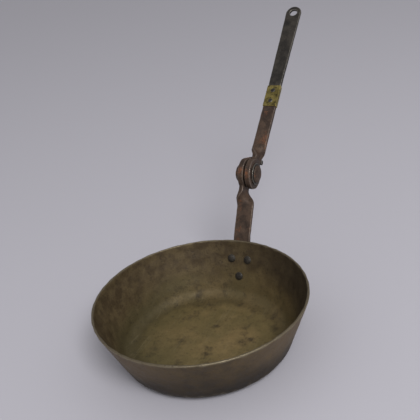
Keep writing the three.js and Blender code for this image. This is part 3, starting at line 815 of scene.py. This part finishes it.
# How many waves there are, and which slice of the noise they come from.
WALL_WAVES, RIM_WAVES = (1.6, 3), (2.1, 9)
WAVE_GROWTH = 1.5
SIDE_SHARPNESS = 3


def outward_at(vert):
    """The level direction from the bowl's middle to a point. At the middle it has no length."""
    reach = Vector((vert.co.x, vert.co.y, 0))
    return reach.normalized() if reach.length > 1e-6 else ORIGIN


def slow_wave(outward, often, slice_height):
    """Soft noise round the bowl, from 0 to 1."""
    return 0.5 + 0.5 * noise.noise(outward * often + Z * slice_height)


inside_layer = bowl.verts.layers.float.new("inside")
for vert in bowl.verts:
    up_and_in = Z * 0.8 - outward_at(vert) * 0.6
    vert[inside_layer] = min(max(0.5 + vert.normal.dot(up_and_in) * SIDE_SHARPNESS, 0), 1)
marks = hammer(bowl, BOWL_MARK, BOWL_MARK_DEPTH, seed=11)
print("hammer marks on the bowl:", marks)
for vert in bowl.verts:
    outward = outward_at(vert)
    if not outward.length:
        continue
    away = min(max((STRAP_SIDE - outward.x) / STRAP_EASE, 0), 1)
    share = max(vert.co.z / PAN_DEPTH, 0) ** WAVE_GROWTH * away
    wave, dip = slow_wave(outward, *WALL_WAVES), slow_wave(outward, *RIM_WAVES)
    vert.co -= outward * DRAWN_IN * wave * share + Z * RIM_DIP * dip * share
bowl.normal_update()
finish_piece("beaten_bowl", bowl, "seasoned_iron", "pan", "pan_bowl")

# %% [markdown]
# ## The strap
# The strap starts as a flat bar. Its lower end is spread into a leaf that hugs the wall,
# and its upper end is turned on edge by a quarter twist and welded to an eye for the
# hinge. The leaf could be cut out of a flat sheet and bent, but a sheet's cut edge leaves
# ragged faces. So it is a grid whose rows are pulled to the leaf's outline, laid on the
# wall and then thickened, thinner at its margin as a hammer leaves it.

# %% Measures of the strap
FIT = 0.3 * MM
STRAP_WIDTH = 27 * MM
STRAP_THICKNESS = 5.5 * MM
STRAP_RAISE = 0.8 * MM
STRAP_BEND = 14 * MM
FOOT_TOP = 2 * MM
FOOT_NECK = 8 * MM
FOOT_NECK_WIDTH = 22 * MM
FOOT_WIDTH = 50 * MM
FOOT_SHOULDER = 27 * MM
FOOT_DROP = 66 * MM
FOOT_TOE = 9 * MM
print("leaf foot:", round(FOOT_WIDTH / MM), "mm across and", round(FOOT_DROP / MM), "mm down")

# %% [markdown]
# The strap ends in a lap hinge. Two eyes lie side by side on one pin with a washer between
# them, so each bar runs a little to one side of the middle. The two necks stand on edge,
# where they are slim enough to pass each other, and a quarter twist turns each bar flat.

# %% Measures of the hinge
EYE_RADIUS = 24 * MM
EYE_THICKNESS = 9 * MM
NECK_THICKNESS = 7.5 * MM
WASHER_RADIUS = 17 * MM
WASHER_THICKNESS = 2 * MM
PIVOT_RADIUS = 6 * MM
PIVOT_OUT, PIVOT_UP = 61 * MM, 85 * MM
HANDLE_ANGLE = math.radians(37)
STOP_RADIUS = 4 * MM
STOP_ARM_RADIUS = 9 * MM
STOP_SPOT = Vector((29 * MM, 0, -15.8 * MM))

PIVOT = Vector((RIM_RADIUS + PIVOT_OUT, 0, PAN_DEPTH + PIVOT_UP))
EYE_INNER = WASHER_THICKNESS / 2 + FIT
EYE_OUTER = EYE_INNER + EYE_THICKNESS
LANE = (EYE_INNER + EYE_OUTER) / 2
ALONG_Y = Matrix.Rotation(-math.pi / 2, 4, "X")
HINGE = Matrix.Translation(PIVOT) @ Matrix.Rotation(-HANDLE_ANGLE, 4, "Y")
print("pivot at", [round(v / MM) for v in PIVOT], "mm, each bar", round(LANE / MM, 1), "mm aside")

# %% The quarter twist
TWIST_START = 27 * MM
TWIST_LENGTH = 25 * MM
TWIST_STEPS = 20


def twist_at(distance):
    """How far the quarter twist has gone at a distance from the pivot, from 0 to 1."""
    share = min(max((distance - TWIST_START) / TWIST_LENGTH, 0), 1)
    return share * share * (3 - 2 * share)


# %% How finely the bars are worked
IRON_SKIN = 0.75 * MM
FINE_SKIN = 0.42 * MM
BAR_EASE = 1.3 * MM
BAR_MARK, BAR_MARK_DEPTH = 9 * MM, 0.3 * MM
ROUND_STEPS, HOLE_STEPS = 72, 24
# How far a drill or a core goes past what it cuts.
PAST = 5 * MM

# %% The leaf-shaped foot
LEAF_ACROSS, LEAF_ALONG, CURVE_STEPS = 16, 48, 24
THINNED = 0.35
TOE_FROM, TOE_SPAN = 0.88, 0.12


def leaf_outline():
    """Half widths of the leaf and how far down the wall they are, from two smooth curves."""
    half, neck = FOOT_WIDTH / 2, FOOT_NECK_WIDTH / 2
    top, shoulder, toe = FOOT_NECK, FOOT_SHOULDER, FOOT_DROP
    upper = ((neck, top), (neck, (top + shoulder) / 2), (half, shoulder / 2), (half, shoulder))
    lower = ((half, shoulder), (half, (shoulder + toe) / 2), (FOOT_TOE, toe), (FIT, toe))
    points = [Vector((neck, FOOT_TOP, 0))]
    for curve in (upper, lower):
        points += interpolate_bezier(*[Vector((*knot, 0)) for knot in curve], CURVE_STEPS)
    return [point.x for point in points], [point.y for point in points]


def leaf_foot():
    """The strap's foot: a grid pulled to the outline, laid on the wall and thickened outwards."""
    halves, downs = leaf_outline()
    bm = bmesh.new()
    bmesh.ops.create_grid(bm, x_segments=LEAF_ACROSS, y_segments=LEAF_ALONG, size=1)
    lifts = []
    for vert in bm.verts:
        share = vert.co.x
        down = FOOT_TOP + (FOOT_DROP - FOOT_TOP) * math.sin((vert.co.y + 1) * math.pi / 4)
        angle = share * float(np.interp(down, downs, halves)) / on_wall(down, 0).x
        vert.co = on_wall(down, FIT, angle)
        toe = max(down / FOOT_DROP - TOE_FROM, 0) / TOE_SPAN
        thickness = STRAP_THICKNESS * (1 - THINNED * abs(share) ** 5) * (1 - THINNED * toe)
        lifts.append(Matrix.Rotation(angle, 3, "Z") @ OUT * thickness)
    sheet = bmesh.ops.extrude_face_region(bm, geom=bm.faces)["geom"]
    raised = [item for item in sheet if isinstance(item, bmesh.types.BMVert)]
    for vert, lift in zip(raised, lifts):
        vert.co += lift
    bmesh.ops.recalc_face_normals(bm, faces=bm.faces)
    return bm


# %% [markdown]
# The bar of the strap is drawn out along a line that leans back with the wall, bends at the
# rim and runs straight to the pivot. Between twist and eye it moves over by half the hinge,
# so that the two eyes of the hinge lie side by side.

# %% The strap's bar, from the foot to the pivot
BEND_FULLNESS, BEND_STEPS = 0.7, 9


def strap_bar():
    """A flat bar up the wall, bent at the rim, then straight to the pivot with a quarter twist."""
    middle = FIT + STRAP_RAISE + STRAP_THICKNESS / 2
    low, enter, corner = (on_wall(down, middle) for down in (FOOT_NECK, 0, -STRAP_BEND / 2))
    to_pivot = (PIVOT - corner).normalized()
    leave = corner + to_pivot * STRAP_BEND / 2
    handles = enter.lerp(corner, BEND_FULLNESS), leave.lerp(corner, BEND_FULLNESS)
    bend = interpolate_bezier(enter, *handles, leave, BEND_STEPS)
    steps = range(TWIST_STEPS + 1)
    rest = [TWIST_START + TWIST_LENGTH * (1 - step / TWIST_STEPS) for step in steps]
    line = [low, *bend, *[PIVOT - to_pivot * left for left in rest], PIVOT]
    sections = []
    for last, point, following in zip([low] + line, line, line[1:] + [PIVOT + to_pivot * MM]):
        turned = twist_at((point - PIVOT).length)
        centre = point + Y * LANE * (1 - turned)
        thickness = NECK_THICKNESS + (STRAP_THICKNESS - NECK_THICKNESS) * turned
        direction = (following - last).normalized()
        turn = (1 - turned) * math.pi / 2
        sections.append(section(centre, direction, turn, STRAP_WIDTH, thickness))
    return draw_out(sections, BAR_EASE)


# %% The strap's eye with the arm for its stop
NEARLY_FLAT = 0.01


def eye_with_arm():
    """Two rounds of one thickness and the straight sides that touch both, from a convex hull."""
    reach = STOP_SPOT.length
    eye = round_bar(EYE_RADIUS, EYE_INNER, EYE_OUTER, steps=ROUND_STEPS)
    arm = placed(round_bar(STOP_ARM_RADIUS, EYE_INNER, EYE_OUTER), Matrix.Translation(X * reach))
    bm = joined([eye, arm])
    bmesh.ops.delete(bm, geom=bm.edges[:], context="EDGES_FACES")
    hull = bmesh.ops.convex_hull(bm, input=bm.verts)
    bmesh.ops.delete(bm, geom=hull["geom_interior"], context="VERTS")
    bmesh.ops.dissolve_limit(bm, angle_limit=NEARLY_FLAT, verts=bm.verts, edges=bm.edges)
    bm.normal_update()
    ease_sharp(bm, MM)
    dip = Matrix.Rotation(math.atan2(-STOP_SPOT.z, STOP_SPOT.x), 4, "Y")
    return placed(bm, HINGE @ dip @ ALONG_Y)


# %% Weld the strap, punch its holes and hammer it
RIVET_RADIUS = 3 * MM
RIVET_SPREAD = 27 * MM
toe_rivet = FOOT_DROP - FOOT_TOE - RIVET_RADIUS
side_turn = math.asin(RIVET_SPREAD / 2 / on_wall(FOOT_SHOULDER, 0).x)
RIVET_SPOTS = ((FOOT_SHOULDER, side_turn), (FOOT_SHOULDER, -side_turn), (toe_rivet, 0.0))


def rivet_place(down, turn):
    """The place of a foot rivet, with Z out of the wall."""
    tilt = Matrix.Rotation(math.pi / 2 - flank_angle, 4, "Y")
    return Matrix.Rotation(turn, 4, "Z") @ Matrix.Translation(on_wall(down, 0)) @ tilt


def drills_at(places, radius):
    """One drill for each place, a little wider than the pin that goes through."""
    drills = []
    for place in places:
        drill = round_bar(radius + FIT, -2 * PAST, 2 * PAST, steps=HOLE_STEPS)
        drills.append(placed(drill, place))
    return drills


pivot_place = HINGE @ ALONG_Y
stop_place = HINGE @ Matrix.Translation(STOP_SPOT) @ ALONG_Y
strap_drills = drills_at([rivet_place(*spot) for spot in RIVET_SPOTS], RIVET_RADIUS)
strap_drills.append(placed(round_bar(PIVOT_RADIUS + FIT, -2 * PAST, 3 * PAST), pivot_place))
strap_drills.append(placed(round_bar(STOP_RADIUS + FIT, -2 * PAST, 3 * PAST), stop_place))
strap = weld("strap", [leaf_foot(), strap_bar(), eye_with_arm()], IRON_SKIN, strap_drills)
hammer(strap, BAR_MARK, BAR_MARK_DEPTH, seed=21)
finish_piece("forged_strap", strap, "rusty_iron", "pan", "handle_strap")

# %% [markdown]
# ## The handle
# The handle is two bars. The lower one has the hinge's other eye. Its neck stands on edge
# beside the strap, and a quarter twist lays it flat. The upper one widens to a round end
# with a hole to hang it by. They lap along a slanted cut, a scarf, where a brass collar
# and two pins hold them. Both are drawn out along X at the pivot, then tilted into place.

# %% Measures of the handle
NECK_WIDTH = 23 * MM
BAR_WIDTH = 22 * MM
BAR_THICKNESS = 7 * MM
END_WIDTH = 27 * MM
END_THICKNESS = 5 * MM
HANDLE_LENGTH = 331 * MM
END_CENTRE = HANDLE_LENGTH - END_WIDTH / 2
HANG_HOLE_RADIUS = 6.5 * MM
SPLICE_AT = 144 * MM
COLLAR_HALF = 20 * MM
COLLAR_WALL = 1.2 * MM
COLLAR_PROUD = 0.6 * MM
REBATE = COLLAR_WALL + FIT - COLLAR_PROUD
SPLICE_PIN_RADIUS = 2 * MM
SPLICE_PIN_OFFSET = 10 * MM
# The scarf falls by the bar's thickness under the collar over its length, in millimetres.
SCARF_FALL, SCARF_LENGTH = 5.2, 30
SCARF_SLOPE = Vector((SCARF_FALL, 0, SCARF_LENGTH)).normalized()
UPPER_MARK = 10 * MM

splice_pins = (SPLICE_AT - SPLICE_PIN_OFFSET, SPLICE_AT + SPLICE_PIN_OFFSET)
splice_places = [Matrix.Translation((x, -LANE, 0)) for x in splice_pins]
collar_end = SPLICE_AT + COLLAR_HALF + FIT
print("splice pins at", [round(x / MM) for x in splice_pins], "mm from the pivot")


def handle_section(x, sunk=0.0):
    """The handle's section at a distance from the pivot, thinner all round by what is sunk."""
    turned = twist_at(x)
    end = min(max((x - collar_end - REBATE) / (END_CENTRE - collar_end - REBATE), 0), 1)
    width = NECK_WIDTH + (BAR_WIDTH - NECK_WIDTH) * turned + (END_WIDTH - BAR_WIDTH) * end
    thickness = NECK_THICKNESS + (BAR_THICKNESS - NECK_THICKNESS) * turned
    thickness += (END_THICKNESS - BAR_THICKNESS) * end
    centre, turn = Vector((x, -LANE, 0)), (1 - turned) * math.pi / 2
    return section(centre, X, turn, width - 2 * sunk, thickness - 2 * sunk)


def scarf(bm, keep_upper):
    """Cuts a bar along the slanted plane of the scarf and closes the cut."""
    side = 1 if keep_upper else -1
    middle = Vector((SPLICE_AT, -LANE, side * FIT / 2))
    whole = bm.verts[:] + bm.edges[:] + bm.faces[:]
    cut_off = {"clear_inner": keep_upper, "clear_outer": not keep_upper}
    bmesh.ops.bisect_plane(bm, geom=whole, plane_co=middle, plane_no=SCARF_SLOPE, **cut_off)
    bmesh.ops.holes_fill(bm, edges=[edge for edge in bm.edges if edge.is_boundary], sides=0)
    return bm


# %% The lower bar
twist = [TWIST_START + TWIST_LENGTH * step / TWIST_STEPS for step in range(TWIST_STEPS + 1)]
shoulder = SPLICE_AT - COLLAR_HALF - FIT
lower_sections = [handle_section(x) for x in [0, *twist, shoulder - REBATE]]
lower_sections += [handle_section(x, REBATE) for x in (shoulder, SPLICE_AT + COLLAR_HALF)]
lower = scarf(draw_out(lower_sections, BAR_EASE), keep_upper=False)
handle_eye = placed(round_bar(EYE_RADIUS, -EYE_OUTER, -EYE_INNER, MM, ROUND_STEPS), ALONG_Y)
pivot_drill = placed(round_bar(PIVOT_RADIUS + FIT, -3 * PAST, 2 * PAST), ALONG_Y)
lower_drills = [*drills_at(splice_places, SPLICE_PIN_RADIUS), pivot_drill]
lower_bar = placed(weld("lower", [lower, handle_eye], IRON_SKIN, lower_drills), HINGE)
hammer(lower_bar, BAR_MARK, BAR_MARK_DEPTH, seed=31)
finish_piece("lower_handle_bar", lower_bar, "rusty_iron", "handle", "handle_lower_bar")

# %% The upper bar
upper_sections = [handle_section(x, REBATE) for x in (SPLICE_AT - COLLAR_HALF, collar_end)]
upper_sections += [handle_section(x) for x in (collar_end + REBATE, END_CENTRE)]
upper = scarf(draw_out(upper_sections, BAR_EASE), keep_upper=True)
end_place = Matrix.Translation((END_CENTRE, -LANE, 0))
half_end = END_THICKNESS / 2
round_end = placed(round_bar(END_WIDTH / 2, -half_end, half_end, MM, ROUND_STEPS), end_place)
hang_hole = placed(round_bar(HANG_HOLE_RADIUS, -PAST, PAST), end_place)
upper_drills = [*drills_at(splice_places, SPLICE_PIN_RADIUS), hang_hole]
upper_bar = placed(weld("upper", [upper, round_end], IRON_SKIN, upper_drills), HINGE)
hammer(upper_bar, UPPER_MARK, BAR_MARK_DEPTH, seed=41)
finish_piece("upper_handle_bar", upper_bar, "dark_iron", "handle", "handle_upper_bar")

# %% [markdown]
# ### The brass collar
# The collar is sheet brass folded round both bars. The bars are let in for it, so it stands
# only a little proud. One end of the sheet laps over the other under the handle, which
# shows as a low step along the collar.

# %% The collar
LAP_STEP = 0.3 * MM
LAP_FROM, LAP_SPAN = 0.68, 0.04
SLEEVE_EASE, CORE_EASE = 1.1 * MM, 0.4 * MM
BRASS_MARK, BRASS_MARK_DEPTH = 5.5 * MM, 0.1 * MM
outer_width, outer_thickness = BAR_WIDTH + 2 * COLLAR_PROUD, BAR_THICKNESS + 2 * COLLAR_PROUD


def collar_sections(half_length, sunk):
    """The two ends of a box round the splice."""
    ends = []
    for x in (SPLICE_AT - half_length, SPLICE_AT + half_length):
        centre = Vector((x, -LANE, 0))
        ends.append(section(centre, X, 0, outer_width - 2 * sunk, outer_thickness - 2 * sunk))
    return ends


sleeve = draw_out(collar_sections(COLLAR_HALF, 0), SLEEVE_EASE)
core = draw_out(collar_sections(COLLAR_HALF + PAST, COLLAR_WALL), CORE_EASE)
collar_drills = [core, *drills_at(splice_places, SPLICE_PIN_RADIUS)]
collar = weld("collar", [sleeve], FINE_SKIN, collar_drills)
hammer(collar, BRASS_MARK, BRASS_MARK_DEPTH, seed=51)
for vert in collar.verts:
    across = (vert.co.y + LANE) / (outer_width / 2)
    underneath = vert.normal.z < -0.5 and vert.co.z < -outer_thickness / 2 + COLLAR_WALL / 2
    if underneath and LAP_FROM < across:
        vert.co.z -= LAP_STEP * min((across - LAP_FROM) / LAP_SPAN, 1)
finish_piece("brass_collar", placed(collar, HINGE), "aged_brass", "handle", "splice_collar")


# %% [markdown]
# ## Rivets, pins and washers
# A rivet is a short round bar with a head hammered on each end. One rivet could be copied
# to every place, but a smith's heads are domes with small flats, no two alike, so each one
# is made afresh with its own hammer marks. The pivot pin is the largest. Its left head
# stands out most, and with the two eyes it makes the lump that is seen halfway up.

# %% Heads on a shank
SEAT_IN = 0.3 * MM
SHANK_STEPS = 40
HEAD_MARKS, FLAT_MARKS = (4 * MM, 0.16 * MM), (5 * MM, 0.06 * MM)


def headed_pin(shank, low, high, low_head=None, high_head=None):
    """Closed shapes of a pin along Z: a shank, and at each end a dome of a radius and a rise."""
    shapes = [round_bar(shank, low, high, steps=SHANK_STEPS)]
    if low_head:
        shapes.append(dome(low_head[0], -low_head[1], low))
    if high_head:
        shapes.append(dome(high_head[0], high_head[1], high))
    return shapes


def fitting(name, shapes, place, slot, body, node, seed, marks=HEAD_MARKS, drills=()):
    """Welds, places and hammers a small fitting, and finishes it."""
    bm = placed(weld(name, shapes, FINE_SKIN, drills), place)
    hammer(bm, *marks, seed)
    finish_piece(name, bm, slot, body, node)


# %% Foot rivets
RIVET_HEAD = (6.5 * MM, 3 * MM)
for number, spot in enumerate(RIVET_SPOTS, 1):
    bow = RIVET_HEAD[0] ** 2 / (2 * on_wall(spot[0], 0).x)
    seats = (-WALL - FIT - bow + SEAT_IN, FIT + STRAP_THICKNESS)
    shapes = headed_pin(RIVET_RADIUS, *seats, RIVET_HEAD, RIVET_HEAD)
    name, node = f"foot_rivet_{number}", f"strap_rivet_{number}"
    fitting(name, shapes, rivet_place(*spot), "dark_iron", "pan", node, seed=60 + number)

# %% Pivot pin and stop
PIVOT_HEAD, PIVOT_BOSS = (14 * MM, 5 * MM), (15 * MM, 8 * MM)
PIVOT_MARKS = (5 * MM, 0.3 * MM)
STOP_HEAD = (7 * MM, 3 * MM)

washer_centre = EYE_OUTER + FIT + WASHER_THICKNESS / 2
pin_seat = washer_centre + WASHER_THICKNESS / 2 + FIT
pin_shapes = headed_pin(PIVOT_RADIUS, -pin_seat, pin_seat, PIVOT_HEAD, PIVOT_BOSS)
fitting("hinge_pin", pin_shapes, pivot_place, "rusty_iron", "pan", "pivot_pin", 71, PIVOT_MARKS)
stop_shapes = headed_pin(STOP_RADIUS, -EYE_OUTER, EYE_OUTER + FIT, None, STOP_HEAD)
fitting("handle_stop", stop_shapes, stop_place, "dark_iron", "pan", "stop_pin", seed=72)

# %% Washers
WASHER_EASE, WASHER_STEPS = 0.4 * MM, 64

sides = {"left": (washer_centre, "pan"), "middle": (0, "pan"), "right": (-washer_centre, "handle")}
for side, (centre, body) in sides.items():
    low, high = centre - WASHER_THICKNESS / 2, centre + WASHER_THICKNESS / 2
    ring = round_bar(WASHER_RADIUS, low, high, WASHER_EASE, WASHER_STEPS)
    bore = round_bar(PIVOT_RADIUS + FIT, centre - PAST, centre + PAST)
    name, node = f"hinge_washer_{side}", f"pivot_washer_{side}"
    fitting(name, [ring], pivot_place, "dark_iron", body, node, 80, FLAT_MARKS, [bore])

# %% Splice pins
PIN_HEAD, PIN_MARKS = (4 * MM, 1.4 * MM), (3 * MM, 0.1 * MM)

half_splice = BAR_THICKNESS / 2 + COLLAR_PROUD
for number, place in enumerate(splice_places, 1):
    shapes = headed_pin(SPLICE_PIN_RADIUS, -half_splice, half_splice, PIN_HEAD, PIN_HEAD)
    name, node = f"collar_pin_{number}", f"splice_pin_{number}"
    fitting(name, shapes, HINGE @ place, "dark_iron", "handle", node, 90 + number, PIN_MARKS)

# %% [markdown]
# ## Floor and light
# The pan stands on a plain pale floor that runs to the horizon. A large soft lamp in front,
# to the right and high up, stands for a window, and a white sky fills the shadows. Lamp and
# sky together are plain daylight: a colour comes out about as it was written. A white sky
# would also show behind the floor's far edge, brighter than the floor. So the Light Path
# node swaps it, for the camera and for reflections alone, for a backdrop in the floor's
# tone, and the light that falls on the pan doesn't change.

# %% Floor
FLOOR_TONE = colour(176, 174, 182)
FLOOR_REACH = 60
FLOOR_GAP = 0.3 * MM

floor_material, tree, shader = new_finish("pale_floor")
shader.inputs["Base Color"].default_value = FLOOR_TONE
shader.inputs["Roughness"].default_value = 1.0
shader.inputs["Specular IOR Level"].default_value = 0.2
bm = bmesh.new()
bmesh.ops.create_grid(bm, x_segments=1, y_segments=1, size=FLOOR_REACH)
bmesh.ops.translate(bm, vec=-Z * FLOOR_GAP, verts=bm.verts)
floor = as_object("floor", [bm])
floor.data.materials.append(floor_material)

# %% Lamp
LAMP_PLACE = aside * 0.8 - level * 2.2 + Z * 2.5
LAMP_SIZE = 1.3
LAMP_POWER = 76


def soft_lamp(name, place, target, size, power):
    """A square lamp that faces a point."""
    data = bpy.data.lights.new(name, "AREA")
    data.size = size
    data.energy = power
    lamp = bpy.data.objects.new(name, data)
    facing = (place - target).to_track_quat("Z", "Y").to_matrix().to_4x4()
    lamp.matrix_world = Matrix.Translation(place) @ facing
    bpy.context.scene.collection.objects.link(lamp)
    return lamp


window = soft_lamp("window", LAMP_PLACE, Z * PAN_DEPTH, LAMP_SIZE, LAMP_POWER)
print("lamp at", [round(v, 2) for v in window.matrix_world.translation])

# %% Sky and backdrop
SKY_STRENGTH = 0.62
BACKDROP = colour(142, 140, 146)

world = bpy.data.worlds.new("sky")
world.use_nodes = True
bpy.context.scene.world = world
tree = world.node_tree
sky = tree.nodes["Background"]
sky.inputs["Color"].default_value = (1, 1, 1, 1)
sky.inputs["Strength"].default_value = SKY_STRENGTH
backdrop = add(tree, "ShaderNodeBackground", {"Color": BACKDROP, "Strength": 1.0})
ray = add(tree, "ShaderNodeLightPath").outputs
seen = maths(tree, "MAXIMUM", ray["Is Camera Ray"], ray["Is Glossy Ray"])
seen = maths(tree, "MAXIMUM", seen, ray["Is Transmission Ray"])
shown = add(tree, "ShaderNodeMixShader", {0: seen, 1: sky.outputs[0], 2: backdrop.outputs[0]})
tree.links.new(shown.outputs[0], tree.nodes["World Output"].inputs["Surface"])
bpy.context.scene.view_settings.view_transform = "Standard"
